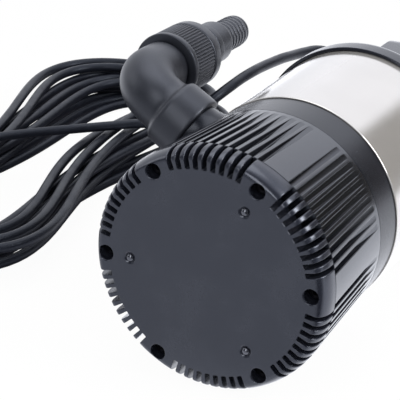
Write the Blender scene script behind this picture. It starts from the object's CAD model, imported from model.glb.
"""Submersible sump pump that lies on its side, with its power cord coiled beside it.

The row frame is metres, +Y along the pump from the foot to the handle and +Z up. Meshes are drawn
in millimetres with the pump upright, +Z from the foot to the handle, and then laid along +Y.
"""

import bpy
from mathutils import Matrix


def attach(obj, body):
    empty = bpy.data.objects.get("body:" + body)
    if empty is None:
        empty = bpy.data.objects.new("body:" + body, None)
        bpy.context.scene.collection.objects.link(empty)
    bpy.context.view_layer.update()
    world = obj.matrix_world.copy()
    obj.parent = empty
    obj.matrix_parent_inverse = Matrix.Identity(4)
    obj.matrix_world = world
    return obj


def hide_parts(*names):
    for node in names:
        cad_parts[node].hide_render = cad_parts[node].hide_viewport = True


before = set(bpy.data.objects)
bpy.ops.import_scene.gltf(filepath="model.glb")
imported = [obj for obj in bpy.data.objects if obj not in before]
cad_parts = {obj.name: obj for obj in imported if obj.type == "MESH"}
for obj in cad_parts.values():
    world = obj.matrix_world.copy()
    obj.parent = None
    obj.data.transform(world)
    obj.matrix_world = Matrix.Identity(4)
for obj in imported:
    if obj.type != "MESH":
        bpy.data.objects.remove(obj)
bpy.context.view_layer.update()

import logging
import math
from dataclasses import dataclass, field
from enum import Enum
from typing import Any, Iterable, Optional, Sequence, Union

import bmesh
import bpy
from mathutils import Matrix, Vector

log = logging.getLogger("pump")

MM = 0.001
TURN = 2 * math.pi
LIE_ROLL = 1.0
FLOOR_Z = -86.0
SCREW_CIRCLE = 76.0
SCREW_HOLE = 2.55
PLUG_PIN_X = 9.5
SEAT = 77.7
GROOVE = 74.9
MOTOR_BORE = 71.9
COOL_WHITE = (0.94, 0.96, 1.03)
PLASTIC_TINT = (0.82, 0.87, 1.0)
RUBBER_TINT = (0.78, 0.86, 1.0)

Point = Sequence[float]
Colour = tuple[float, float, float]
Outline = list[tuple[float, float]]
Number = Union[float, "Value"]

LYING = (
    Matrix.Scale(MM, 4)
    @ Matrix.Rotation(math.radians(-90), 4, "X")
    @ Matrix.Rotation(math.radians(-LIE_ROLL), 4, "Z")
)
ROW = Matrix.Scale(MM, 4)


def turn_z(degrees: float) -> Matrix:
    """Rotation about Z by an angle in degrees."""
    return Matrix.Rotation(math.radians(degrees), 4, "Z")


def turn_y(degrees: float) -> Matrix:
    """Rotation about Y by an angle in degrees."""
    return Matrix.Rotation(math.radians(degrees), 4, "Y")


def turn_x(degrees: float) -> Matrix:
    """Rotation about X by an angle in degrees."""
    return Matrix.Rotation(math.radians(degrees), 4, "X")


def shift(x: float, y: float, z: float) -> Matrix:
    """Translation by x, y and z."""
    return Matrix.Translation((x, y, z))


def around(count: int, radius: float, start: float = 0.0) -> list[Matrix]:
    """Places spread evenly round Z.

    Args:
        count: How many.
        radius: Their distance from the axis.
        start: The first one's angle in degrees.

    Returns:
        The places, each turned to face outwards.
    """
    return [turn_z(start + 360 / count * i) @ shift(radius, 0, 0) for i in range(count)]


def circle(radius: float, steps: int, height: float = 0.0) -> list[Vector]:
    """Points round Z at a radius and height."""
    angles = [TURN * i / steps for i in range(steps)]
    return [Vector((radius * math.cos(a), radius * math.sin(a), height)) for a in angles]


def ease(x: float) -> float:
    """Smooth step of x from 0 to 1."""
    x = min(max(x, 0.0), 1.0)
    return x * x * (3 - 2 * x)


# --------------------------------------------------------------------------------------------------
# Shader expressions


class Value:
    """A shader socket that takes part in Python arithmetic."""

    def __init__(self, graph: "Graph", socket: bpy.types.NodeSocket) -> None:
        """Wraps one output socket of a graph."""
        self.graph = graph
        self.socket = socket

    def other(self, name: str) -> "Value":
        """Another output of the same node."""
        return Value(self.graph, self.socket.node.outputs[name])

    def _math(self, operation: str, first: Number, second: Number) -> "Value":
        """Adds one Math node.

        Args:
            operation: The Math node's operation.
            first: The first operand.
            second: The second operand.

        Returns:
            The node's result.
        """
        return self.graph.node("ShaderNodeMath", {"operation": operation}, {0: first, 1: second})

    def __add__(self, other: Number) -> "Value":
        """self + other."""
        return self._math("ADD", self, other)

    def __radd__(self, other: Number) -> "Value":
        """other + self."""
        return self._math("ADD", other, self)

    def __sub__(self, other: Number) -> "Value":
        """self - other."""
        return self._math("SUBTRACT", self, other)

    def __rsub__(self, other: Number) -> "Value":
        """other - self."""
        return self._math("SUBTRACT", other, self)

    def __mul__(self, other: Number) -> "Value":
        """self * other."""
        return self._math("MULTIPLY", self, other)

    def __rmul__(self, other: Number) -> "Value":
        """other * self."""
        return self._math("MULTIPLY", other, self)

    def __truediv__(self, other: Number) -> "Value":
        """self / other."""
        return self._math("DIVIDE", self, other)

    def __pow__(self, other: Number) -> "Value":
        """self ** other."""
        return self._math("POWER", self, other)

    def between(self, low: float, high: float, start: float = 0.0, end: float = 1.0) -> "Value":
        """Smooth ramp from start at low to end at high.

        Args:
            low: The value where the ramp starts.
            high: The value where the ramp ends.
            start: The result at and below low.
            end: The result at and above high.

        Returns:
            The ramp's value.
        """
        return self.graph.node(
            "ShaderNodeMapRange",
            {"interpolation_type": "SMOOTHSTEP"},
            {"Value": self, "From Min": low, "From Max": high, "To Min": start, "To Max": end},
            output="Result",
        )


class Graph:
    """The node tree of one material or world, with one way to add a node."""

    def __init__(self, tree: bpy.types.NodeTree) -> None:
        """Takes over an empty or default node tree."""
        self.tree = tree
        self.tree.nodes.clear()
        self.shader: Optional[bpy.types.ShaderNode] = None

    def node(
        self,
        kind: str,
        settings: Optional[dict[str, Any]] = None,
        sockets: Optional[dict[Union[int, str], Any]] = None,
        output: Union[int, str] = 0,
    ) -> Value:
        """Adds a node, sets it up and fills its sockets.

        Args:
            kind: The node's type.
            settings: Attributes that are set first.
            sockets: Values or links of its inputs, by name or index.
            output: The output to return.

        Returns:
            The chosen output.
        """
        made = self.tree.nodes.new(kind)
        for name, setting in (settings or {}).items():
            setattr(made, name, setting)
        for name, value in (sockets or {}).items():
            socket = made.inputs[name]
            if isinstance(value, Value):
                self.tree.links.new(value.socket, socket)
            elif socket.type == "RGBA":
                socket.default_value = (*value[:3], 1.0)
            else:
                socket.default_value = value
        return Value(self, made.outputs[output])

    def end(self, kind: str, surface: Value) -> None:
        """Adds the output node and links what it shows.

        Args:
            kind: The output node's type.
            surface: What it shows.
        """
        made = self.tree.nodes.new(kind)
        self.tree.links.new(surface.socket, made.inputs["Surface"])

    def place(self) -> Value:
        """Position on the piece in the row frame, in metres."""
        return self.node("ShaderNodeTexCoord", output="Object")

    def stretched(self, scale: Point) -> Value:
        """Position scaled by a factor along X, Y and Z."""
        return self.node(
            "ShaderNodeMapping", {"vector_type": "POINT"}, {"Vector": self.place(), "Scale": scale}
        )

    def noise(
        self, scale: float, detail: float = 3.0, rough: float = 0.55, at: Optional[Value] = None
    ) -> Value:
        """Noise from 0 to 1.

        Args:
            scale: Features per metre.
            detail: Octaves.
            rough: Share of the finer octaves.
            at: The position, or None for the plain one.

        Returns:
            The noise factor.
        """
        return self.node(
            "ShaderNodeTexNoise",
            {"noise_dimensions": "3D"},
            {"Vector": at or self.place(), "Scale": scale, "Detail": detail, "Roughness": rough},
        )

    def blend(self, factor: Number, first: Any, second: Any) -> Value:
        """Mixes two colours.

        Args:
            factor: 0 for the first colour, 1 for the second.
            first: The first colour.
            second: The second colour.

        Returns:
            The mixed colour.
        """
        made = self.tree.nodes.new("ShaderNodeMix")
        made.data_type = "RGBA"
        for index, value in ((0, factor), (6, first), (7, second)):
            if isinstance(value, Value):
                self.tree.links.new(value.socket, made.inputs[index])
            elif index:
                made.inputs[index].default_value = (*value[:3], 1.0)
            else:
                made.inputs[index].default_value = value
        return Value(self, made.outputs[2])

    def over(self, factor: Number, first: Value, second: Value) -> Value:
        """Mixes two shaders.

        Args:
            factor: 0 for the first shader, 1 for the second.
            first: The first shader.
            second: The second shader.

        Returns:
            The mixed shader.
        """
        return self.node("ShaderNodeMixShader", {}, {0: factor, 1: first, 2: second})

    def light(self, kind: str, colour: Colour, strength: float = 1.0) -> Value:
        """Plain light of an Emission or Background node.

        Args:
            kind: The node's type.
            colour: Its colour.
            strength: Its strength.

        Returns:
            The shader.
        """
        return self.node(kind, {}, {"Color": colour, "Strength": strength})

    def sides(self, vector: Value) -> tuple[Value, Value, Value]:
        """The X, Y and Z of a vector."""
        first = self.node("ShaderNodeSeparateXYZ", {}, {0: vector})
        return first, first.other("Y"), first.other("Z")

    def bump(self, height: Value, depth: float) -> Value:
        """Bumped normal.

        Args:
            height: The height, from 0 to 1.
            depth: What a height of 1 stands for, in metres.

        Returns:
            The normal.
        """
        sockets = {"Height": height, "Distance": depth, "Strength": 1.0}
        return self.node("ShaderNodeBump", {}, sockets)


def principled(name: str, fixed: dict[str, Any], colour: Colour) -> tuple[Graph, bpy.types.Material]:
    """Makes a material with one Principled shader.

    Args:
        name: The material's name.
        fixed: Values of sockets that are the same all over.
        colour: The viewport colour.

    Returns:
        The graph and the material.
    """
    made = bpy.data.materials.new(name)
    made.use_nodes = True
    made.diffuse_color = (*colour, 1.0)
    graph = Graph(made.node_tree)
    shader = graph.node("ShaderNodeBsdfPrincipled", {}, fixed, output="BSDF")
    graph.end("ShaderNodeOutputMaterial", shader)
    graph.shader = shader.socket.node
    return graph, made


def feed(graph: Graph, **sockets: Value) -> None:
    """Links values that change over the surface into the graph's shader.

    Args:
        graph: The material's graph.
        **sockets: Values by socket name, with _ for a space.
    """
    for name, value in sockets.items():
        graph.tree.links.new(value.socket, graph.shader.inputs[name.replace("_", " ")])


@dataclass(frozen=True)
class MouldedPlastic:
    """Injection-moulded plastic with orange peel, fine scuffs and a thin film of dust."""

    name: str
    colour: Colour
    roughness: float = 0.3
    peel: float = 0.00002
    dust: float = 0.12
    shine: float = 0.5
    dust_colour: Colour = (0.12, 0.125, 0.15)

    def build(self) -> bpy.types.Material:
        """Builds the material."""
        fixed = {"Specular IOR Level": self.shine, "Specular Tint": PLASTIC_TINT}
        graph, made = principled(self.name, fixed, self.colour)
        cloud = graph.noise(28.0, 4.0)
        speck = graph.noise(900.0, 2.0)
        scuff = graph.noise(160.0, 5.0, 0.7, graph.stretched((1.0, 0.25, 1.0)))
        dusty = cloud.between(0.42, 0.72) * self.dust + scuff.between(0.6, 0.78) * (self.dust * 0.6)
        dark = tuple(c * 0.82 for c in self.colour)
        base = graph.blend(speck.between(0.35, 0.7), dark, self.colour)
        feed(
            graph,
            Base_Color=graph.blend(dusty, base, self.dust_colour),
            Roughness=self.roughness + dusty * 0.5 + (speck - 0.5) * 0.06,
            Normal=graph.bump(graph.noise(1400.0, 2.0) + scuff * 0.4, self.peel),
        )
        return made


@dataclass(frozen=True)
class DrawnSteel:
    """Polished stainless sheet with faint lines round the pump's axis."""

    name: str
    colour: Colour = (0.5, 0.485, 0.47)
    roughness: float = 0.14
    metallic: float = 0.64

    def build(self) -> bpy.types.Material:
        """Builds the material."""
        graph, made = principled(self.name, {"Metallic": self.metallic}, self.colour)
        lines = graph.noise(40.0, 5.0, 0.6, graph.stretched((1.0, 60.0, 1.0)))
        cloud = graph.noise(14.0, 3.0)
        smear = graph.noise(60.0, 4.0, 0.6, graph.stretched((1.0, 0.3, 1.0)))
        tint = tuple(c * 0.93 for c in self.colour)
        feed(
            graph,
            Base_Color=graph.blend(cloud.between(0.35, 0.7) * 0.7, self.colour, tint),
            Roughness=self.roughness + (lines - 0.5) * 0.1 + smear.between(0.5, 0.8) * 0.06,
            Normal=graph.bump(lines, 0.000012),
        )
        return made


@dataclass(frozen=True)
class TurnedMetal:
    """Machined or stamped metal with tool marks and a little oil."""

    name: str
    colour: Colour
    roughness: float = 0.3
    marks: float = 0.00001

    def build(self) -> bpy.types.Material:
        """Builds the material."""
        graph, made = principled(self.name, {"Metallic": 1.0}, self.colour)
        lines = graph.noise(300.0, 3.0, 0.6, graph.stretched((1.0, 9.0, 1.0)))
        stain = graph.noise(90.0, 4.0)
        dark = tuple(c * 0.7 for c in self.colour)
        feed(
            graph,
            Base_Color=graph.blend(stain.between(0.45, 0.75), self.colour, dark),
            Roughness=self.roughness + (lines - 0.5) * 0.2 + stain * 0.06,
            Normal=graph.bump(lines, self.marks),
        )
        return made


@dataclass(frozen=True)
class Rubber:
    """Extruded or moulded rubber with fine grain and handling marks."""

    name: str
    colour: Colour
    roughness: float = 0.42
    grain: float = 0.00003
    shine: float = 0.22
    bloom: Colour = (0.0012, 0.0015, 0.0026)

    def build(self) -> bpy.types.Material:
        """Builds the material."""
        fixed = {"Specular IOR Level": self.shine, "Specular Tint": RUBBER_TINT}
        graph, made = principled(self.name, fixed, self.colour)
        grain = graph.noise(1500.0, 3.0, 0.6)
        marks = graph.noise(70.0, 4.0, 0.65)
        chalk = tuple(c * 1.7 + k for c, k in zip(self.colour, self.bloom))
        feed(
            graph,
            Base_Color=graph.blend(marks.between(0.48, 0.75) * 0.5, self.colour, chalk),
            Roughness=self.roughness + marks.between(0.4, 0.7) * 0.12 + (grain - 0.5) * 0.05,
            Normal=graph.bump(grain + marks * 0.5, self.grain),
        )
        return made


@dataclass(frozen=True)
class WoundCopper:
    """Enamelled copper wire laid in turns."""

    name: str
    colour: Colour = (0.55, 0.24, 0.09)

    def build(self) -> bpy.types.Material:
        """Builds the material."""
        graph, made = principled(self.name, {"Metallic": 0.6, "Coat Weight": 0.5}, self.colour)
        wire = graph.node(
            "ShaderNodeTexWave",
            {"wave_type": "RINGS", "rings_direction": "Y"},
            {"Vector": graph.place(), "Scale": 250.0, "Distortion": 1.5, "Detail": 2.0},
            output="Fac",
        )
        dark = tuple(c * 0.35 for c in self.colour)
        feed(
            graph,
            Base_Color=graph.blend(wire.between(0.1, 0.6), dark, self.colour),
            Roughness=0.28 + wire * 0.1,
            Normal=graph.bump(wire, 0.0003),
        )
        return made


class Finish(Enum):
    """Every finish of the pump, each built once."""

    FOOT = MouldedPlastic("foot_moulded_plastic", (0.011, 0.0125, 0.019), 0.2, dust=0.05, shine=0.6)
    STRAINER = MouldedPlastic("strainer_gloss_plastic", (0.004, 0.005, 0.0078), 0.13, 0.000012, 0.02, 0.66)
    HOUSING = MouldedPlastic("housing_satin_plastic", (0.006, 0.007, 0.0105), 0.25, dust=0.03, shine=0.28)
    COVER = MouldedPlastic("cover_satin_plastic", (0.009, 0.010, 0.014), 0.2, dust=0.05, shine=0.42)
    FITTING = MouldedPlastic("fitting_matt_plastic", (0.0105, 0.0115, 0.0155), 0.4, 0.00004, 0.08)
    INNER = MouldedPlastic("inner_plastic", (0.02, 0.02, 0.023), 0.4)
    WHITE_CASE = MouldedPlastic("capacitor_case_plastic", (0.62, 0.62, 0.64), 0.35, dust=0.05)
    CERAMIC = MouldedPlastic("seal_white_ceramic", (0.62, 0.6, 0.54), 0.2, 0.000004, 0.02)
    CARBON = MouldedPlastic("seal_black_carbon", (0.03, 0.03, 0.033), 0.35, 0.00001, 0.02)
    BARREL = DrawnSteel("barrel_stainless")
    STEEL = TurnedMetal("turned_steel", (0.60, 0.61, 0.63), 0.27)
    BLACK_STEEL = TurnedMetal("blackened_steel", (0.016, 0.016, 0.019), 0.34)
    RIVET = TurnedMetal("rivet_dark_steel", (0.11, 0.115, 0.13), 0.12, 0.000001)
    LAMINATION = TurnedMetal("core_laminations", (0.22, 0.23, 0.25), 0.45, 0.00008)
    CAST = TurnedMetal("cast_grey_aluminium", (0.55, 0.56, 0.58), 0.5, 0.00006)
    COPPER = WoundCopper("winding_copper")
    CORD = Rubber("cord_black_rubber", (0.0075, 0.0085, 0.013), 0.36)
    PLUG = Rubber("plug_rubber", (0.018, 0.018, 0.021), 0.5, 0.00006)
    SEAL = Rubber("seal_rubber", (0.012, 0.012, 0.013), 0.5)

    def material(self) -> bpy.types.Material:
        """The finish's material, made on first use.

        No finish has the name of a material slot of the CAD, because that material would be found here.
        """
        known = bpy.data.materials.get(self.value.name)
        return known or self.value.build()


# --------------------------------------------------------------------------------------------------
# Mesh tools


class Solid:
    """A closed mesh in millimetres that is cut, rounded and laid in place."""

    def __init__(self, name: str, mesh: bpy.types.Mesh) -> None:
        """Wraps a mesh in an object of the scene."""
        self.object = bpy.data.objects.new(name, mesh)
        bpy.context.scene.collection.objects.link(self.object)

    @classmethod
    def from_bmesh(cls, name: str, shape: bmesh.types.BMesh) -> "Solid":
        """Makes a solid from a bmesh with its normals turned outwards.

        Args:
            name: The object's name.
            shape: The bmesh, which is freed.

        Returns:
            The solid.
        """
        bmesh.ops.recalc_face_normals(shape, faces=shape.faces)
        mesh = bpy.data.meshes.new(name)
        shape.to_mesh(mesh)
        shape.free()
        return cls(name, mesh)

    def _apply(self) -> None:
        """Bakes the modifiers into the mesh."""
        graph = bpy.context.evaluated_depsgraph_get()
        made = bpy.data.meshes.new_from_object(self.object.evaluated_get(graph))
        old = self.object.data
        self.object.modifiers.clear()
        self.object.data = made
        bpy.data.meshes.remove(old)

    def moved(self, matrix: Matrix) -> "Solid":
        """Transforms the mesh itself."""
        self.object.data.transform(matrix)
        return self

    def combine(self, other: "Solid", operation: str) -> "Solid":
        """Joins or cuts with another solid, which is used up.

        Args:
            other: The other solid.
            operation: UNION, DIFFERENCE or INTERSECT.

        Returns:
            This solid.
        """
        modifier = self.object.modifiers.new("combine", "BOOLEAN")
        modifier.operation = operation
        modifier.solver = "MANIFOLD"
        modifier.object = other.object
        self._apply()
        mesh = other.object.data
        bpy.data.objects.remove(other.object)
        bpy.data.meshes.remove(mesh)
        return self

    def cut(self, other: "Solid") -> "Solid":
        """Takes another solid away from this one."""
        return self.combine(other, "DIFFERENCE")

    def join(self, other: "Solid") -> "Solid":
        """Adds another solid to this one."""
        return self.combine(other, "UNION")

    def rounded(self, width: float, segments: int = 2, angle: float = 35.0) -> "Solid":
        """Rounds the sharp edges.

        Args:
            width: The bevel's width in mm.
            segments: The bevel's segments.
            angle: The least angle of an edge that is rounded, in degrees.

        Returns:
            This solid.
        """
        self.cleaned()
        modifier = self.object.modifiers.new("round", "BEVEL")
        modifier.width = width
        modifier.segments = segments
        modifier.limit_method = "ANGLE"
        modifier.angle_limit = math.radians(angle)
        modifier.use_clamp_overlap = False
        modifier.miter_outer = "MITER_ARC"
        self._apply()
        return self

    def cleaned(self) -> "Solid":
        """Merges the flat triangles that a cut leaves behind."""
        shape = bmesh.new()
        shape.from_mesh(self.object.data)
        bmesh.ops.dissolve_degenerate(shape, edges=shape.edges, dist=0.01)
        bmesh.ops.dissolve_limit(shape, angle_limit=math.radians(0.25), verts=shape.verts, edges=shape.edges)
        shape.to_mesh(self.object.data)
        shape.free()
        return self

    def done(self, finish: Finish, body: str, *nodes: str, slot: str = "", place: Matrix = LYING,
             smooth: float = 32.0) -> bpy.types.Object:
        """Lays the piece in the row frame and hands it over.

        Args:
            finish: Its finish.
            body: The CAD body that it rides on.
            *nodes: The CAD nodes that it replaces.
            slot: The record's material slot.
            place: From its own millimetres to the row frame.
            smooth: The angle in degrees up to which faces shade as one.

        Returns:
            The object.
        """
        self.moved(place)
        shade(self.object.data, smooth)
        self.object.modifiers.new("normals", "WEIGHTED_NORMAL").keep_sharp = True
        self._apply()
        mesh = self.object.data
        mesh.materials.clear()
        mesh.materials.append(finish.material())
        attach(self.object, body)
        if nodes:
            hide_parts(*nodes)
        log.info("%s: %d faces", self.object.name, len(mesh.polygons))
        return self.object


def shade(mesh: bpy.types.Mesh, angle: float) -> None:
    """Shades a mesh smooth with its sharper edges kept.

    Args:
        mesh: The mesh.
        angle: Edges above this angle in degrees stay sharp.
    """
    shape = bmesh.new()
    shape.from_mesh(mesh)
    for face in shape.faces:
        face.smooth = True
    limit = math.radians(angle)
    for edge in shape.edges:
        edge.smooth = len(edge.link_faces) != 2 or edge.calc_face_angle(0.0) < limit
    shape.to_mesh(mesh)
    shape.free()


def bridge(shape: bmesh.types.BMesh, rings: Sequence[list[bmesh.types.BMVert]], closed: bool = True) -> None:
    """Adds the faces between neighbouring rings of corners, where a ring of one corner is a pole.

    Args:
        shape: The bmesh.
        rings: The rings, in order.
        closed: Whether the last ring is joined to the first.
    """
    following = list(rings[1:]) + (list(rings[:1]) if closed else [])
    for first, second in zip(rings, following):
        if len(first) == 1 and len(second) == 1:
            continue
        steps = max(len(first), len(second))
        for i in range(steps):
            j = (i + 1) % steps
            if len(first) == 1:
                shape.faces.new((first[0], second[i], second[j]))
            elif len(second) == 1:
                shape.faces.new((first[i], first[j], second[0]))
            else:
                shape.faces.new((first[i], first[j], second[j], second[i]))


def lathe(name: str, outline: Sequence[Point], steps: int = 192) -> Solid:
    """Turns a closed outline of radius and height round Z.

    Args:
        name: The object's name.
        outline: Radius and height of each corner, in order.
        steps: Steps round the axis.

    Returns:
        The solid.
    """
    shape = bmesh.new()
    rings = []
    for radius, height in outline:
        points = circle(radius, steps, height) if radius > 1e-6 else [Vector((0.0, 0.0, height))]
        rings.append([shape.verts.new(point) for point in points])
    bridge(shape, rings)
    return Solid.from_bmesh(name, shape)


def rod(name: str, radius: float, low: float, high: float, steps: int) -> Solid:
    """Plain cylinder on Z.

    Args:
        name: The object's name.
        radius: Its radius.
        low: The lower height.
        high: The upper height.
        steps: Steps round the axis.

    Returns:
        The solid.
    """
    return lathe(name, [(0, low), (radius, low), (radius, high), (0, high)], steps)


def prism(name: str, outline: Sequence[Point], low: float, high: float) -> Solid:
    """Extrudes an outline of x and y from one height to another.

    Args:
        name: The object's name.
        outline: Corners of the outline, in order.
        low: The lower height.
        high: The upper height.

    Returns:
        The solid.
    """
    shape = bmesh.new()
    lower = [shape.verts.new((x, y, low)) for x, y in outline]
    upper = [shape.verts.new((x, y, high)) for x, y in outline]
    shape.faces.new(lower)
    shape.faces.new(upper)
    bridge(shape, [lower, upper], closed=False)
    return Solid.from_bmesh(name, shape)


@dataclass(frozen=True)
class Level:
    """Section of a ribbed drum at one height.

    Attributes:
        height: The height.
        radius: The outer radius.
        floor: The radius of the slot floors.
        half: Half of the slots' width.
        fillet: The radius of the ribs' outer edges.
    """

    height: float
    radius: float
    floor: float
    half: float
    fillet: float = 0.6


@dataclass(frozen=True)
class RibbedDrum:
    """Drum with groups of slots cut in from outside, made as a stack of sections."""

    slots: int
    pitch: float
    groups: int = 6
    root: float = 0.9

    def section(self, level: Level) -> list[Vector]:
        """Outline of one section, with the same count of points at every level."""
        radius = level.radius
        floor = min(level.floor, radius - 0.05)
        depth = radius - floor
        fillet = min(level.fillet, depth * 0.8)
        half = level.half
        bottom = min(half * self.root, depth * 0.2)
        side = [(radius - fillet * (1 - math.cos(a)), half + fillet * (1 - math.sin(a)))
                for a in (math.radians(22.5 * i) for i in range(5))]
        side += [(floor + bottom, half), (floor + bottom * 0.3, half - bottom * 0.3), (floor, half - bottom)]
        slot = [(x, -y) for x, y in side] + [(x, y) for x, y in reversed(side)]
        group = 360.0 / self.groups
        edge = math.degrees((half + fillet) / radius)
        points = []
        for g in range(self.groups):
            middle = (g + 0.5) * group
            for i in range(self.slots):
                at = middle + (i - (self.slots - 1) / 2) * self.pitch
                t = math.radians(at)
                for x, y in slot:
                    sagged = x - (radius - math.sqrt(radius * radius - y * y))
                    r = sagged if x > floor + depth * 0.5 else x
                    points.append(Vector((
                        r * math.cos(t) - y * math.sin(t), r * math.sin(t) + y * math.cos(t), level.height)))
                last = i == self.slots - 1
                span = (group - (self.slots - 1) * self.pitch if last else self.pitch) - 2 * edge
                count = 16 if last else 3
                for j in range(1, count):
                    a = math.radians(at + edge + span * j / count)
                    points.append(Vector((radius * math.cos(a), radius * math.sin(a), level.height)))
        return points

    def build(self, name: str, levels: Sequence[Level]) -> Solid:
        """Builds the drum as a full body.

        Args:
            name: The object's name.
            levels: Its sections, from the lowest to the highest.

        Returns:
            The solid.
        """
        shape = bmesh.new()
        rings = [[shape.verts.new(p) for p in self.section(level)] for level in levels]
        bridge(shape, rings, closed=False)
        shape.faces.new(rings[0])
        shape.faces.new(rings[-1])
        return Solid.from_bmesh(name, shape)


def repeated(name: str, part: Solid, places: Iterable[Matrix]) -> Solid:
    """Copies a solid to several places, in one object.

    Args:
        name: The object's name.
        part: The solid, which is used up.
        places: Where each copy goes.

    Returns:
        The solid of all copies.
    """
    shape = bmesh.new()
    for place in places:
        copy = part.object.data.copy()
        copy.transform(place)
        shape.from_mesh(copy)
        bpy.data.meshes.remove(copy)
    mesh = part.object.data
    bpy.data.objects.remove(part.object)
    bpy.data.meshes.remove(mesh)
    mesh = bpy.data.meshes.new(name)
    shape.to_mesh(mesh)
    shape.free()
    return Solid(name, mesh)


def arc(centre: Point, radii: Point, start: float, end: float, steps: int) -> Outline:
    """Points of an elliptic arc.

    Args:
        centre: Its centre.
        radii: Its two half axes.
        start: The first angle in degrees.
        end: The last angle in degrees.
        steps: Steps from the first to the last point.

    Returns:
        The points.
    """
    found = []
    for i in range(steps + 1):
        a = math.radians(start + (end - start) * i / steps)
        found.append((centre[0] + radii[0] * math.cos(a), centre[1] + radii[1] * math.sin(a)))
    return found


def tube(name: str, rings: Sequence[tuple[Matrix, float]], bore: Sequence[tuple[Matrix, float]],
         steps: int = 96) -> Solid:
    """Skin of round rings along a path, with a bore that comes back inside it.

    Args:
        name: The object's name.
        rings: Place and radius of each outer ring, from the first end to the last.
        bore: Place and radius of each inner ring, in the same direction.
        steps: Steps round each ring.

    Returns:
        The solid.
    """
    shape = bmesh.new()
    made = [
        [shape.verts.new(place @ point) for point in circle(radius, steps)]
        for place, radius in list(rings) + list(reversed(bore))
    ]
    bridge(shape, made)
    return Solid.from_bmesh(name, shape)


# --------------------------------------------------------------------------------------------------
# Sub-assemblies


@dataclass
class Foot:
    """Foot cap with its slotted rim, recessed screws and dome rivets."""

    radius: float = 86.0
    face_radius: float = 79.0
    height: float = 17.0
    plate: float = 5.0
    slot_start: float = 73.4
    slot_width: float = 3.4
    slots: int = 9
    pitch: float = 4.75
    bore: float = 5.25
    rivet_circle: float = 57.5
    rivet: float = 2.8

    def cap(self) -> None:
        """Builds the foot cap."""
        half, floor = self.slot_width / 2, self.slot_start
        levels = [Level(0.0, self.face_radius - 0.1, floor - 0.45, half + 0.45, 0.8),
                  Level(0.12, self.face_radius + 0.7, floor - 0.2, half + 0.2, 0.8),
                  Level(0.45, self.face_radius + 1.9, floor, half, 0.8)]
        for i in range(2, 13):
            a = math.radians(-90 + 90 * i / 12)
            height = 13.0 + 13.0 * math.sin(a)
            radius = self.face_radius + (self.radius - self.face_radius) * math.cos(a)
            levels.append(Level(max(height, 0.5 + 0.1 * i), radius, floor, half, 0.7))
        levels += [Level(self.height - 0.5, self.radius, floor, half, 0.7),
                   Level(self.height, self.radius - 0.4, floor, half + 0.2, 0.7)]
        cap = RibbedDrum(self.slots, self.pitch, root=0.35).build("foot_cap", levels)
        wall, step, end = self.slot_start - 4, self.plate + 4, self.height + 1
        cap.cut(lathe("hollow", [(0, self.plate), (wall, self.plate), (wall, step), (wall + 2.5, step),
                                 (wall + 2.5, end), (0, end)], 180))
        rim = [(2.8, -1), (1.0, 0), (0.7, 0.13), (0.4, 0.4), (0.15, 0.85), (0, 1.6), (0, self.height - 4)]
        bore = self.recess("bore", self.bore, rim, 64)
        cap.cut(repeated("bores", bore, around(6, SCREW_CIRCLE)))
        dish = [(3.4, -1), (2.1, 0), (1.6, 0.15), (0.9, 0.55), (0.3, 1.2)]
        dimple = self.recess("dimple", self.rivet, dish, 48)
        cap.cut(repeated("dimples", dimple, self.rivet_places()))
        cap.cleaned().done(Finish.FOOT, "pump", "foot_cap", slot="foot_plastic")

    def recess(self, name: str, radius: float, rim: Outline, steps: int) -> Solid:
        """Cutter of a round recess in the face.

        Args:
            name: The object's name.
            radius: The recess's radius.
            rim: How far the wall lies outside the radius, and at which height.
            steps: Steps round the axis.

        Returns:
            The cutter.
        """
        wall = [(radius + out, height) for out, height in rim]
        return lathe(name, [(0, rim[0][1])] + wall + [(0, rim[-1][1])], steps)

    def rivet_places(self) -> list[Matrix]:
        """Places of the three rivets."""
        return around(3, self.rivet_circle, 60)

    def screws(self) -> None:
        """Builds the six socket screws deep in their counterbores."""
        head = self.bore - 0.6
        screw = lathe("foot_screws", [(0, 11.0), (2.2, 11.0), (2.2, 8.0), (head - 0.6, 8.0), (head, 8.6),
                                      (head, 13.0), (2.5, 13.0), (2.5, 37.0), (0, 37.0)], 48)
        repeated("foot_screws", screw, around(6, SCREW_CIRCLE)).rounded(0.15, 1, 50).done(
            Finish.BLACK_STEEL, "pump", "foot_screws", slot="black_steel")

    def rivets(self) -> None:
        """Builds the three dome rivets."""
        dome = arc((0.0, 1.19), (self.rivet, self.rivet * 0.82), -90, 0, 8)
        rivet = lathe("foot_rivets", dome + [(1.3, 1.2), (1.3, self.plate), (self.rivet, self.plate),
                                             (self.rivet, self.plate + 1.6), (0, self.plate + 1.6)], 40)
        repeated("foot_rivets", rivet, self.rivet_places()).done(
            Finish.RIVET, "pump", "foot_rivets", slot="black_steel")

    def build(self) -> None:
        """Builds every piece of the foot."""
        self.cap()
        self.screws()
        self.rivets()


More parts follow.
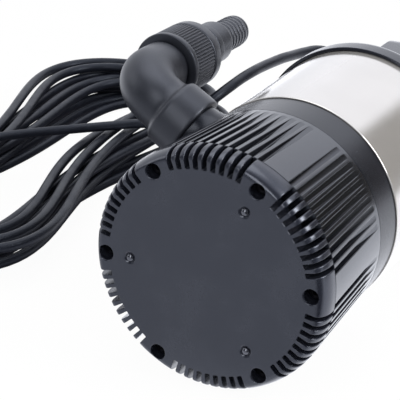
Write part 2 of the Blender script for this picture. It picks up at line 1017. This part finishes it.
@dataclass
class Strainer:
    """Ribbed cone between the foot and the pump housing."""

    low: float = 17.0
    top: float = 102.0
    low_radius: float = 85.8
    top_radius: float = 79.4
    inner: float = 75.0
    ledge_inner: float = 64.0
    slots: int = 10
    pitch: float = 4.8
    slot_width: float = 4.0
    slot_floor: float = 79.7
    open_top: float = 26.0

    @property
    def slope(self) -> float:
        """How much the radius shrinks per millimetre of height."""
        return (self.low_radius - self.top_radius) / (self.top - self.low)

    def radius(self, height: float) -> float:
        """Outer radius at a height."""
        return self.low_radius - self.slope * (height - self.low)

    def build(self) -> None:
        """Builds the strainer."""
        half, radius = self.slot_width / 2, self.radius
        deep = self.inner - 9
        levels = [Level(self.low, self.low_radius - 0.45, deep, half + 0.2),
                  Level(self.low + 0.5, self.low_radius, deep, half),
                  Level(self.open_top - 0.01, radius(self.open_top), deep, half)]
        end = self.low + (self.low_radius - self.slot_floor) / self.slope
        levels += [Level(h, radius(h), self.slot_floor, half) for h in (
            self.open_top, 50.0, 75.0, end - 6, end - 2.5, end - 1.2)]
        levels += [Level(end - 0.3, radius(end - 0.3), self.slot_floor + 0.1, half * 0.8),
                   Level(self.top - 0.2, radius(self.top - 0.2), self.top_radius, 0.4, 0.05),
                   Level(self.top, self.top_radius - 0.15, self.top_radius - 0.2, 0.4, 0.05)]
        cone = RibbedDrum(self.slots, self.pitch).build("strainer", levels)
        cone.cut(lathe("hollow", [(0, self.low - 1), (self.inner, self.low - 1), (self.inner, 90),
                                  (self.ledge_inner, 90), (self.ledge_inner, 96), (self.inner, 96),
                                  (self.inner, self.top + 1), (0, self.top + 1)], 180))
        cone.join(repeated("bosses", rod("boss", 6.5, 17.2, 41, 32), around(6, SCREW_CIRCLE - 2.5)))
        cone.cut(repeated("bores", rod("bore", SCREW_HOLE, 10, 38, 24), around(6, SCREW_CIRCLE)))
        cone.cleaned().done(Finish.STRAINER, "pump", "strainer", slot="strainer_plastic")


@dataclass
class Outlet:
    """Outlet axis on the side of the pump, and the second leg of its elbow."""

    angle: float = 213.0
    height: float = 119.0
    offset: float = 140.0
    bend: float = 21.5
    tilt: float = 4.5

    def port(self, distance: float = 0.0) -> Matrix:
        """Place on the outlet axis, +Z outwards, at a distance from the pump's axis."""
        return shift(0, 0, self.height) @ turn_z(self.angle) @ turn_y(90) @ shift(0, 0, distance)

    def corner(self, swing: float) -> Matrix:
        """Place on the elbow's bend, at an angle in degrees from the outlet axis to the second leg."""
        turned = self.port(self.offset) @ turn_z(self.tilt) @ shift(-self.bend, 0, -self.bend)
        return turned @ turn_y(-swing) @ shift(self.bend, 0, 0)

    def leg(self, distance: float) -> Matrix:
        """Place on the second leg, +Z along it, at a distance from the outlet axis."""
        return self.port(self.offset) @ turn_z(self.tilt) @ turn_y(-90) @ shift(0, 0, distance)


@dataclass
class PumpHousing:
    """Smooth band over the water chamber, with the outlet boss and spigot."""

    outlet: Outlet
    low: float = 102.0
    top: float = 131.7
    low_radius: float = 79.4
    top_radius: float = 78.0

    def build(self) -> None:
        """Builds the housing."""
        outline = [(16, 127), (62, 127), (62, self.low), (self.low_radius - 0.15, self.low),
                   (self.low_radius, self.low + 0.2), (self.top_radius + 0.05, self.top - 0.5),
                   (self.top_radius - 0.3, self.top), (SEAT, self.top), (SEAT, 134.7), (GROOVE, 134.7),
                   (GROOVE, 137.8), (SEAT, 137.8), (SEAT, 140.7), (MOTOR_BORE, 140.7),
                   (MOTOR_BORE, 137.0), (16, 137.0)]
        band = lathe("pump_housing", outline, 256)
        port = self.outlet.port()
        boss = lathe("boss", [(0, 64), (25.0, 64), (23.0, 76.5), (21.9, 80.5), (21.5, 84), (21.5, 87),
                              (0, 87)], 96).moved(port)
        boss.cut(rod("clear", self.low_radius + 0.4, 60, self.low, 128))
        boss.cut(rod("clear", self.low_radius, self.top, 170, 128))
        band.join(boss)
        spigot = lathe("spigot", [(0, 84), (19, 84), (19, 103.4), (18.4, 104), (0, 104)], 96)
        band.join(spigot.moved(port))
        band.cut(rod("bore", 15, 56, 106, 96).moved(port))
        band.rounded(0.3, 2, 40).done(Finish.HOUSING, "pump", "pump_housing", slot="housing_plastic")


@dataclass
class Barrel:
    """Stainless barrel round the motor."""

    radius: float = 79.0
    wall: float = 1.2
    low: float = 131.7
    top: float = 247.0

    def build(self) -> None:
        """Builds the barrel with its slightly rolled lower edge."""
        inner = self.radius - self.wall
        outline = [(inner, self.low + 0.3), (inner + 0.3, self.low), (self.radius - 0.35, self.low),
                   (self.radius - 0.05, self.low + 0.35)]
        outline += [(self.radius, self.low + 1 + (self.top - self.low - 1) * i / 24) for i in range(25)]
        outline += [(inner, self.top)]
        lathe("barrel", outline, 360).done(Finish.BARREL, "pump", "barrel", slot="stainless", smooth=40)


@dataclass
class TopCover:
    """Top cover with its gland, strain relief and carrying handle."""

    radius: float = 82.0
    low: float = 239.0
    top: float = 276.0
    flat_radius: float = 64.0
    gland_offset: float = 24.0
    cord: float = 4.0
    relief_tip: float = 300.0
    handle_width: float = 28.0
    handle_thick: float = 15.0
    handle_half: float = 61.0
    handle_rise: float = 69.0
    handle_corner: float = 26.0

    def shell(self) -> None:
        """Builds the cover itself."""
        outline = [(0, self.top), (40, self.top), (self.flat_radius - 2, self.top)]
        outline += [(self.flat_radius + 2.5, self.top - 0.5), (self.flat_radius + 6, self.top - 2.4),
                    (72.4, 271), (74.4, 265), (76.4, 260.2), (79.2, 256.9), (80.8, 254.6), (81.6, 252.4),
                    (self.radius, 249.5), (self.radius, self.low + 0.6), (self.radius - 0.5, self.low),
                    (79.8, self.low), (79.3, self.low + 0.5), (79.3, 247), (SEAT, 247), (SEAT, 244.1),
                    (GROOVE, 244.1), (GROOVE, 241), (SEAT, 241), (SEAT, 238), (MOTOR_BORE, 238),
                    (MOTOR_BORE, 249), (62, 272), (0, 272)]
        shell = lathe("top_cover", outline, 256)
        bolt = lathe("bolt", [(0, 230), (2.6, 230), (2.6, 264), (5.2, 264), (5.2, 290), (0, 290)], 32)
        shell.cut(repeated("bolts", bolt, around(4, 68, 45)))
        shell.cut(rod("entry", 8.1, 250, 290, 40).moved(turn_z(LIE_ROLL) @ shift(-self.gland_offset, 0, 0)))
        shell.cut(repeated("holes", rod("hole", SCREW_HOLE, 265, 290, 24), self.handle_screws()))
        shell.rounded(0.35, 2, 40).done(Finish.COVER, "pump", "top_cover", slot="housing_plastic")

    def handle_screws(self) -> list[Matrix]:
        """Places of the two screws that hold the handle."""
        side = self.handle_half - self.handle_thick / 2
        return [shift(0, side, 0), shift(0, -side, 0)]

    def handle(self) -> None:
        """Builds the arched handle with rounded edges."""
        half, rise, corner = self.handle_half, self.handle_rise, self.handle_corner
        thick = self.handle_thick
        inner = max(corner - thick, 4.0)
        outer_line = [(half, 0.0), (half, rise - corner)]
        outer_line += arc((half - corner, rise - corner), (corner, corner), 0, 90, 10)[1:]
        outer_line += [(-x, y) for x, y in reversed(outer_line)]
        inner_line = [(half - thick, 0.0), (half - thick, rise - thick - inner)]
        inner_line += arc((half - thick - inner, rise - thick - inner), (inner, inner), 0, 90, 8)[1:]
        inner_line += [(-x, y) for x, y in reversed(inner_line)]
        outline = outer_line + list(reversed(inner_line))
        arch = prism("handle", outline, -self.handle_width / 2, self.handle_width / 2)
        arch.moved(shift(0, 0, self.top) @ turn_z(90) @ turn_x(90))
        arch.cut(repeated("holes", rod("hole", 2.2, 270, 291, 24), self.handle_screws()))
        arch.rounded(2.6, 4, 40).done(Finish.COVER, "pump", "handle", slot="housing_plastic", smooth=30)

    def gland(self) -> None:
        """Builds the cable gland and the ribbed strain relief."""
        entry = LYING @ turn_z(LIE_ROLL) @ shift(-self.gland_offset, 0, 0)
        base = lathe("cable_gland", [(6.5, 264), (8, 264), (8, 276), (10.4, 276), (11, 276.6), (11, 279.6),
                                     (10.4, 280), (9.6, 280.4), (9.6, 287), (8.6, 288), (6.5, 288)], 64)
        corners = [(11.0 * math.cos(TURN * i / 6), 11.0 * math.sin(TURN * i / 6)) for i in range(6)]
        hexagon = prism("hex", corners, 280.2, 286.6)
        hexagon.cut(rod("clear", 6.6, 270, 290, 64))
        base.join(hexagon)
        base.rounded(0.35, 2, 30).done(Finish.INNER, "pump", "cable_gland", slot="black_plastic", place=entry)
        outline = [(0, 266), (6.4, 266), (6.4, 288.4)]
        tip = self.cord + 1.0
        count = 4
        for i in range(count):
            low, high = 289 + i * 2.7, 290.5 + i * 2.7
            radius = 6.4 - (6.4 - tip) * (i + 0.5) / count
            outline += [(radius, low - 0.5), (radius, high - 0.1)]
            outline += [(radius - 1.0, high + 0.3), (radius - 1.0, low + 1.9)]
        outline += [(tip, self.relief_tip - 0.6), (tip - 0.4, self.relief_tip), (0, self.relief_tip)]
        lathe("strain_relief", outline, 48).rounded(0.2, 2, 30).done(
            Finish.PLUG, "pump", "strain_relief", slot="cord_rubber", place=entry)

    def build(self) -> None:
        """Builds every piece of the top."""
        self.shell()
        self.handle()
        self.gland()


@dataclass
class Discharge:
    """Elbow, union nut and stepped hose tail."""

    outlet: Outlet
    tube_radius: float = 20.5
    socket_radius: float = 25.5
    spigot_fit: float = 19.1
    neck: float = 18.5
    bore: float = 15.0
    nut_bore: float = 15.8
    tail_bore: float = 9.0
    collar: float = 18.0
    hose_step: float = 16.0
    nut_start: float = 42.0
    nut_length: float = 46.0
    nut_radius: float = 25.3
    knurls: int = 64
    knurl_depth: float = 0.55
    tail_end: float = 162.0

    def elbow(self) -> None:
        """Builds the elbow as rings along its bent axis."""
        port, corner, leg = self.outlet.port, self.outlet.corner, self.outlet.leg
        socket = self.socket_radius
        outer = [(port(87), socket - 1.4), (port(87.4), socket - 0.6), (port(88.4), socket - 0.1),
                 (port(90), socket), (port(106), socket - 0.1), (port(108.2), socket - 0.5),
                 (port(109.4), socket - 1.4), (port(110.2), self.tube_radius + 2.6),
                 (port(111.2), self.tube_radius + 1.2), (port(113), self.tube_radius + 0.4),
                 (port(116), self.tube_radius)]
        outer += [(corner(5 * i), self.tube_radius) for i in range(19)]
        outer += [(leg(27), self.tube_radius), (leg(37), self.tube_radius), (leg(38), self.tube_radius - 0.8),
                  (leg(38.3), self.neck), (leg(71), self.neck), (leg(72), self.neck - 0.9)]
        inner = [(port(87), self.spigot_fit), (port(106), self.spigot_fit),
                 (port(106), self.bore), (port(116), self.bore)]
        inner += [(corner(5 * i), self.bore) for i in range(19)]
        inner += [(leg(27), self.bore), (leg(72), self.bore)]
        tube("discharge_elbow", outer, inner).done(
            Finish.FITTING, "pump", "discharge_elbow", slot="black_plastic", smooth=40)

    def nut(self) -> None:
        """Builds the union nut, with fine ribs round its grip."""
        start, end, radius = self.nut_start, self.nut_start + self.nut_length, self.nut_radius
        low, high = start + 6.5, end - 13
        steps = self.knurls * 6
        shape = bmesh.new()
        outer = [(start, radius - 1.2, 0), (start + 0.5, radius - 0.3, 0), (start + 1.4, radius, 0),
                 (start + 4.6, radius, 0), (start + 5.6, radius - 0.4, 0), (start + 6.0, radius - 1.0, 0),
                 (low, radius - 1.0, 0.2), (low + 1, radius - 0.7, 1), (high - 1, radius - 0.7, 1),
                 (high, radius - 1.0, 0.2), (high + 0.6, radius - 1.1, 0), (high + 1.2, radius - 0.4, 0),
                 (high + 2.2, radius - 0.1, 0), (end - 3.0, radius - 0.4, 0),
                 (end - 1.2, radius - 1.6, 0), (end - 0.3, radius - 3.6, 0), (end, radius - 5.0, 0),
                 (end, self.nut_bore, 0)]
        inner = [(end - 7.7, self.nut_bore, 0), (end - 7.7, 18.6, 0), (start, 18.6, 0)]
        rings = []
        for height, base, ribbed in outer + inner:
            ring = []
            for i in range(steps):
                wave = math.cos(TURN * i * self.knurls / steps)
                r = base + ribbed * self.knurl_depth * math.copysign(abs(wave) ** 0.7, wave)
                a = TURN * i / steps
                ring.append(shape.verts.new((r * math.cos(a), r * math.sin(a), height)))
            rings.append(ring)
        bridge(shape, rings)
        nut = Solid.from_bmesh("union_nut", shape).moved(self.outlet.leg(0))
        nut.done(Finish.FITTING, "union_nut", "union_nut", slot="black_plastic", smooth=50)

    def tail(self) -> None:
        """Builds the hose tail, a large plain step and a small ringed step."""
        end, bore, collar, step = self.tail_end, self.tail_bore, self.collar, self.hose_step
        outline = [(bore, 74), (collar, 74), (collar, 80), (15.5, 80), (15.5, 97.4), (17.2, 97.8),
                   (17.9, 98.6), (collar, 99.6), (collar, 104.6), (17.7, 105.6), (16.9, 106.1),
                   (step, 106.4), (step, 122.5), (step - 0.3, 124), (step - 1, 125.4), (13.2, 127.6)]
        low = 128.4
        while low < end - 5:
            outline += [(12.0, low), (12.5, low + 0.7), (12.45, low + 1.2), (11.9, low + 4.6)]
            low += 5.2
        outline += [(12.0, end - 3.4), (12.2, end - 2.6), (11.9, end - 0.6), (11.2, end), (9.6, end),
                    (bore, end - 0.6)]
        lathe("hose_tail", outline, 96).moved(self.outlet.leg(0)).done(
            Finish.FITTING, "pump", "hose_tail", slot="black_plastic", smooth=40)

    def build(self) -> None:
        """Builds every piece of the discharge."""
        self.elbow()
        self.nut()
        self.tail()


@dataclass
class PowerCord:
    """The whole power cord: free run, hank and tail, with its plug."""

    diameter: float = 8.0
    length: float = 10.2
    loops: int = 10
    steps: int = 24
    first_step: int = 2
    per_layer: float = 2.5
    centre: tuple[float, float] = (-292.0, 255.0)
    angle: float = 92.0
    half_length: float = 218.0
    length_step: float = 13.0
    waist: float = 62.0
    waist_step: float = 13.0
    lobe: float = 90.0
    lobe_step: float = 12.0
    top: float = -55.9
    layer: float = 8.7
    turns: tuple[float, ...] = (8.0, -3.0, 3.0, -8.0)
    square_run: float = 10.0
    free: list[Point] = field(default_factory=lambda: [
        (-24, 300, 0), (-24, 313, 0), (-24, 326, 0), (-28, 344, 2.5), (-39.5, 358, 9.5),
        (-55, 363, 19), (-70.5, 358, 27.5), (-82, 344.5, 34.5), (-86, 326, 38), (-87.5, 307, 41),
        (-88, 289, 44), (-88.5, 271, 46), (-89, 254, 47.5), (-89, 238, 48.5), (-89.5, 222, 48.5),
        (-89.5, 205, 48), (-92.5, 188, 44.5), (-101, 175.5, 35.5), (-112, 171, 22.5),
        (-123, 175.5, 10), (-131.5, 188, 0.5), (-139, 203, -10), (-148, 221, -24), (-158, 240, -36),
        (-166, 262, -43), (-173, 280, -46), (-181, 295, -46.5), (-189.5, 308.5, -46.5),
        (-202.5, 317, -46.5), (-218, 319, -46.5), (-233, 314, -46.5), (-248, 301, -46.5),
        (-263, 287.5, -46.5), (-278, 274, -46.5), (-292, 261, -46.5), (-312, 241, -46.5),
        (-328, 219, -46.5), (-338, 195, -47.5), (-344.5, 172, -52.5)])
    tail: list[Point] = field(default_factory=lambda: [
        (-357, 232, -82), (-364, 208, -80.5), (-374, 186, -77), (-383, 164, -72.5),
        (-388.5, 148, -69), (-390, 136, -67.5), (-390, 126, -67.5)])

    def climbed(self, turn: float, centre: float, half: float) -> list[float]:
        """How far each layer change has come at a turn.

        Args:
            turn: The turn along the hank.
            centre: Where the change is centred, in turns after the layer's end.
            half: Half of the change's length in turns.

        Returns:
            A share from 0 to 1 for each change.
        """
        return [ease((turn - (j * self.per_layer + centre - half)) / (2 * half))
                for j in range(1, len(self.turns))]

    def hank_point(self, turn: float) -> Vector:
        """Point of the hank at a turn, in millimetres of the row frame."""
        k = self.per_layer - abs(turn % (2 * self.per_layer) - self.per_layer)
        z = self.top - self.layer * sum(self.climbed(turn, 0.05, 0.1))
        swung = self.climbed(turn, 0.2, 0.2)
        degrees = self.angle + self.turns[0]
        degrees += sum((b - a) * s for a, b, s in zip(self.turns, self.turns[1:], swung))
        a = TURN * turn + math.pi / 2
        u = (self.half_length - self.length_step * k) * math.cos(a)
        v = math.sin(a) * (self.waist - self.waist_step * k
                           + (self.lobe - self.lobe_step * k) * math.cos(a) ** 2)
        t = math.radians(degrees)
        return Vector((self.centre[0] + u * math.cos(t) - v * math.sin(t),
                       self.centre[1] + u * math.sin(t) + v * math.cos(t), z))

    def route(self) -> list[Vector]:
        """Every point that the cord follows, in millimetres of the row frame."""
        first, last = self.first_step, self.loops * self.steps
        hank = [self.hank_point(i / self.steps) for i in range(first, last + 1)]
        into = (hank[1] - hank[0]).normalized()
        out = (hank[-1] - hank[-2]).normalized()
        start = hank[0] - self.square_run * into
        lead = [Vector(p) for p in self.free] + [start - self.square_run * into, start]
        run = smooth_line(lead, 6)
        fine = 4
        run += [self.hank_point(first / self.steps + i / (self.steps * fine))
                for i in range((last - first) * fine + 1)]
        tail = [hank[-1], hank[-1] + self.square_run * out] + [Vector(p) for p in self.tail]
        return run + smooth_line(tail, 6)[1:]

    def cord(self) -> None:
        points = self.route()
        curve = bpy.data.curves.new("power_cord", "CURVE")
        curve.dimensions = "3D"
        curve.bevel_depth = self.diameter / 2 * MM
        curve.bevel_resolution = 3
        curve.use_fill_caps = True
        spline = curve.splines.new("POLY")
        spline.points.add(len(points) - 1)
        for point, place in zip(spline.points, points):
            point.co = (*(place * MM), 1.0)
        spline.use_smooth = True
        curve.materials.append(Finish.CORD.material())
        made = bpy.data.objects.new("power_cord_run", curve)
        bpy.context.scene.collection.objects.link(made)
        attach(made, "pump")
        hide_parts("power_cord", "cord_hank", "cord_tail")
        body, pins = self.plug()
        tuple(c * MM for c in self.free[0])
        log.info("power cord: %d points", len(points))

    def plug(self) -> tuple[bpy.types.Object, bpy.types.Object]:
        """Builds the plug and its pins.

        Returns:
            The plug's body and its pins.
        """
        place = ROW @ shift(*self.tail[-1]) @ turn_x(90)
        outline = [(0, 0), (4.6, 0), (5, 0.5)]
        for i in range(4):
            low = 1.5 + i * 3.4
            radius = 5.2 + i * 0.75
            outline += [(radius, low), (radius + 0.2, low + 1.9)]
            outline += [(radius - 0.7, low + 2.3), (radius - 0.7, low + 3.0)]
        outline += [(8.4, 15.6), (11.5, 16.2), (14.5, 18), (17.4, 21.5), (18.3, 24.5), (18.5, 27),
                    (18.5, 40.6), (18.1, 41.6), (17.3, 42), (0, 42)]
        body = lathe("plug", outline, 96)
        both_pins = [shift(PLUG_PIN_X, 0, 0), shift(-PLUG_PIN_X, 0, 0)]
        body.cut(repeated("holes", rod("hole", 2.45, 34, 44, 24), both_pins))
        groove = prism("groove", [(-2.0, -2.5), (2.0, -2.5), (2.0, 2.5), (-2.0, 2.5)], 26, 44)
        body.cut(repeated("grooves", groove, [shift(19, 0, 0), shift(-19, 0, 0)]))
        rib = prism("rib", [(-0.8, -1), (0.8, -1), (0.8, 0.5), (-0.8, 0.5)], 28, 38)
        ribs = [turn_z(90 + side + 6 * (i - 2.5)) @ shift(18.4, 0, 0) @ turn_z(-90)
                for side in (0, 180) for i in range(6)]
        body.cut(repeated("ribs", rib, ribs))
        plug = body.rounded(0.4, 2, 35).done(Finish.PLUG, "pump", "plug", slot="plug_plastic", place=place)
        pin = lathe("pin", [(0, 34), (2.4, 34), (2.4, 59.2), (1.9, 60.5), (1.2, 61), (0, 61)], 32)
        pins = repeated("plug_pins", pin, both_pins).done(
            Finish.STEEL, "pump", "plug_pins", slot="steel", place=place)
        return plug, pins


def smooth_line(points: Sequence[Vector], fine: int) -> list[Vector]:
    """Curve through every point.

    Args:
        points: The points to pass.
        fine: Steps from one point to the next.

    Returns:
        The points of the curve.
    """
    found = []
    last = len(points) - 1
    for i in range(last):
        p1, p2 = points[i], points[i + 1]
        p0 = points[i - 1] if i else p1 * 2 - p2
        p3 = points[i + 2] if i + 2 <= last else p2 * 2 - p1
        for j in range(fine):
            t = j / fine
            found.append(0.5 * (2 * p1 + (p2 - p0) * t + (2 * p0 - 5 * p1 + 4 * p2 - p3) * t * t
                                + (3 * p1 - p0 - 3 * p2 + p3) * t ** 3))
    return found + [points[-1].copy()]


@dataclass
class InnerParts:
    """CAD pieces that keep their shape and get their finish."""

    finishes: dict[str, Finish] = field(default_factory=lambda: {
        "strainer_screws": Finish.STEEL, "suction_plate": Finish.INNER, "impeller": Finish.INNER,
        "impeller_nut": Finish.STEEL, "shaft": Finish.STEEL, "seal_rotor": Finish.CARBON,
        "seal_seat": Finish.CERAMIC, "oil_chamber": Finish.CAST, "lower_bearing_ring": Finish.STEEL,
        "lower_bearing_cone": Finish.STEEL, "rotor_core": Finish.LAMINATION,
        "stator_core": Finish.LAMINATION, "stator_windings": Finish.COPPER,
        "upper_bearing_ring": Finish.STEEL, "upper_bearing_cone": Finish.STEEL,
        "bearing_bracket": Finish.CAST, "lower_o_ring": Finish.SEAL, "upper_o_ring": Finish.SEAL,
        "tie_bolts": Finish.STEEL, "handle_screws": Finish.STEEL, "capacitor": Finish.WHITE_CASE,
        "elbow_gasket": Finish.SEAL, "union_seal": Finish.SEAL})

    def build(self) -> None:
        """Gives each piece its finish."""
        for node, finish in self.finishes.items():
            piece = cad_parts[node]
            for slot in piece.material_slots:
                slot.material = finish.material()
            log.info("%s: %s", node, finish.value.name)


@dataclass
class Studio:
    """Camera, floor and lights."""

    camera_at: tuple[float, float, float] = (0.5632, -1.0455, 0.5736)
    elevation: float = 23.71
    azimuth: float = 28.62
    focal_pixels: float = 2018.1
    image: float = 400.0
    sensor: float = 36.0
    centre_pixel: tuple[float, float] = (195.8, 201.6)
    bright: float = 1.74

    def camera(self) -> None:
        """Adds the camera."""
        data = bpy.data.cameras.new("camera")
        data.sensor_width = self.sensor
        data.lens = self.focal_pixels * self.sensor / self.image
        data.shift_x = (self.image / 2 - self.centre_pixel[0]) / self.image
        data.shift_y = (self.centre_pixel[1] - self.image / 2) / self.image
        data.clip_end = 50.0
        camera = bpy.data.objects.new("camera", data)
        camera.location = self.camera_at
        camera.rotation_euler = (math.radians(90 - self.elevation), 0.0, math.radians(self.azimuth))
        bpy.context.scene.collection.objects.link(camera)
        bpy.context.scene.camera = camera

    def floor(self) -> None:
        """Adds the white floor, which keeps the pump's shadow."""
        shape = bmesh.new()
        bmesh.ops.create_grid(shape, x_segments=8, y_segments=8, size=14.0)
        mesh = bpy.data.meshes.new("floor")
        shape.to_mesh(mesh)
        shape.free()
        floor = bpy.data.objects.new("floor", mesh)
        floor.location = (0.0, 0.0, FLOOR_Z * MM)
        bpy.context.scene.collection.objects.link(floor)
        made = bpy.data.materials.new("floor_white")
        made.use_nodes = True
        graph = Graph(made.node_tree)
        x, y, _ = graph.sides(graph.place())
        kind = "ShaderNodeEmission"
        lit = graph.node("ShaderNodeBsdfDiffuse", {}, {"Color": (0.92, 0.92, 0.92)})
        plain = graph.light(kind, (1.0, 1.0, 1.0))
        bright = graph.light(kind, COOL_WHITE, self.bright)
        softer = graph.light(kind, COOL_WHITE, 1.05)
        dark = graph.light(kind, (0.12, 0.12, 0.14))
        away = graph.light(kind, (0.25, 0.24, 0.24))
        under_cord = graph.light(kind, (0.1, 0.1, 0.12))
        seen = graph.node("ShaderNodeLightPath", output="Is Camera Ray")
        front = graph.over(x.between(0.06, 0.14), softer, dark)
        covered = x.between(-0.5, -0.44) * x.between(-0.2, -0.14, 1.0, 0.0) * y.between(0.0, 0.06)
        near = graph.over(covered * y.between(0.44, 0.5, 1.0, 0.0), bright, under_cord)
        sheet = graph.over(y.between(-0.06, 0.03), front, near)
        mirrored = graph.over(x.between(0.3, 0.6) * y.between(0.0, 0.4), sheet, away)
        real = graph.over(seen.other("Is Glossy Ray"), lit, mirrored)
        graph.end("ShaderNodeOutputMaterial", graph.over(seen * 0.96, real, plain))
        mesh.materials.append(made)

    def world(self) -> None:
        """Sets the world: white to the camera, a bright studio to everything else."""
        world = bpy.data.worlds.new("studio")
        bpy.context.scene.world = world
        world.use_nodes = True
        graph = Graph(world.node_tree)
        path = graph.node("ShaderNodeLightPath", output="Is Camera Ray")
        x, y, z = graph.sides(graph.node("ShaderNodeTexCoord", output="Generated"))
        kind = "ShaderNodeBackground"
        tent = graph.light(kind, COOL_WHITE, self.bright)
        side = graph.light(kind, COOL_WHITE, 1.2)
        front = graph.light(kind, (0.26, 0.27, 0.31))
        gap = graph.light(kind, (0.15, 0.132, 0.112))
        room = graph.light(kind, (0.45, 0.45, 0.45))
        white = graph.light(kind, (1.0, 1.0, 1.0))
        walls = graph.over(x.between(-0.65, -0.4), side, tent)
        studio = graph.over(y.between(-0.35, 0.15), front, walls)
        low_right = x.between(0.2, 0.33) * z.between(0.44, 0.6, 1.0, 0.0)
        shine = graph.over(low_right * y.between(0.0, 0.4), studio, gap)
        unseen = graph.over(path.other("Is Glossy Ray"), room, shine)
        graph.end("ShaderNodeOutputWorld", graph.over(path, unseen, white))

    def lamp(self, name: str, at: Point, aim: Point, size: tuple[float, float], power: float) -> None:
        """Adds a soft rectangular lamp.

        Args:
            name: Its name.
            at: Where it stands.
            aim: What it points at.
            size: Its width and height in metres.
            power: Its power in watts.
        """
        data = bpy.data.lights.new(name, "AREA")
        data.shape = "RECTANGLE"
        data.size, data.size_y = size
        data.energy = power
        lamp = bpy.data.objects.new(name, data)
        lamp.location = at
        lamp.rotation_mode = "QUATERNION"
        lamp.rotation_quaternion = (Vector(aim) - Vector(at)).to_track_quat("-Z", "Y")
        bpy.context.scene.collection.objects.link(lamp)

    def build(self) -> None:
        """Builds the studio."""
        bpy.context.scene.view_settings.view_transform = "Standard"
        self.camera()
        self.floor()
        self.world()
        foot = (0.0, 0.0, 0.0)
        self.lamp("overhead", (-0.2, 0.3, 1.6), (0.0, 0.12, 0.0), (1.4, 1.0), 9.0)
        self.lamp("right_strip", (1.28, 0.25, 0.9), foot, (0.6, 0.95), 20.0)
        self.lamp("front_softbox", (0.16, -1.35, 0.9), foot, (0.5, 1.6), 12.0)
        self.lamp("left_window", (-1.5, -0.4, 0.9), (0.0, 0.1, 0.0), (0.8, 0.9), 4.0)


def main() -> None:
    """Builds the pump and the studio."""
    logging.basicConfig(level=logging.INFO, format="%(name)s %(message)s")
    Studio().build()
    PowerCord().cord()
    outlet = Outlet()
    for assembly in (Foot(), Strainer(), PumpHousing(outlet), Barrel(), TopCover(), Discharge(outlet),
                     InnerParts()):
        assembly.build()
        log.info("%s built", type(assembly).__name__)


if __name__ == "__main__":
    main()
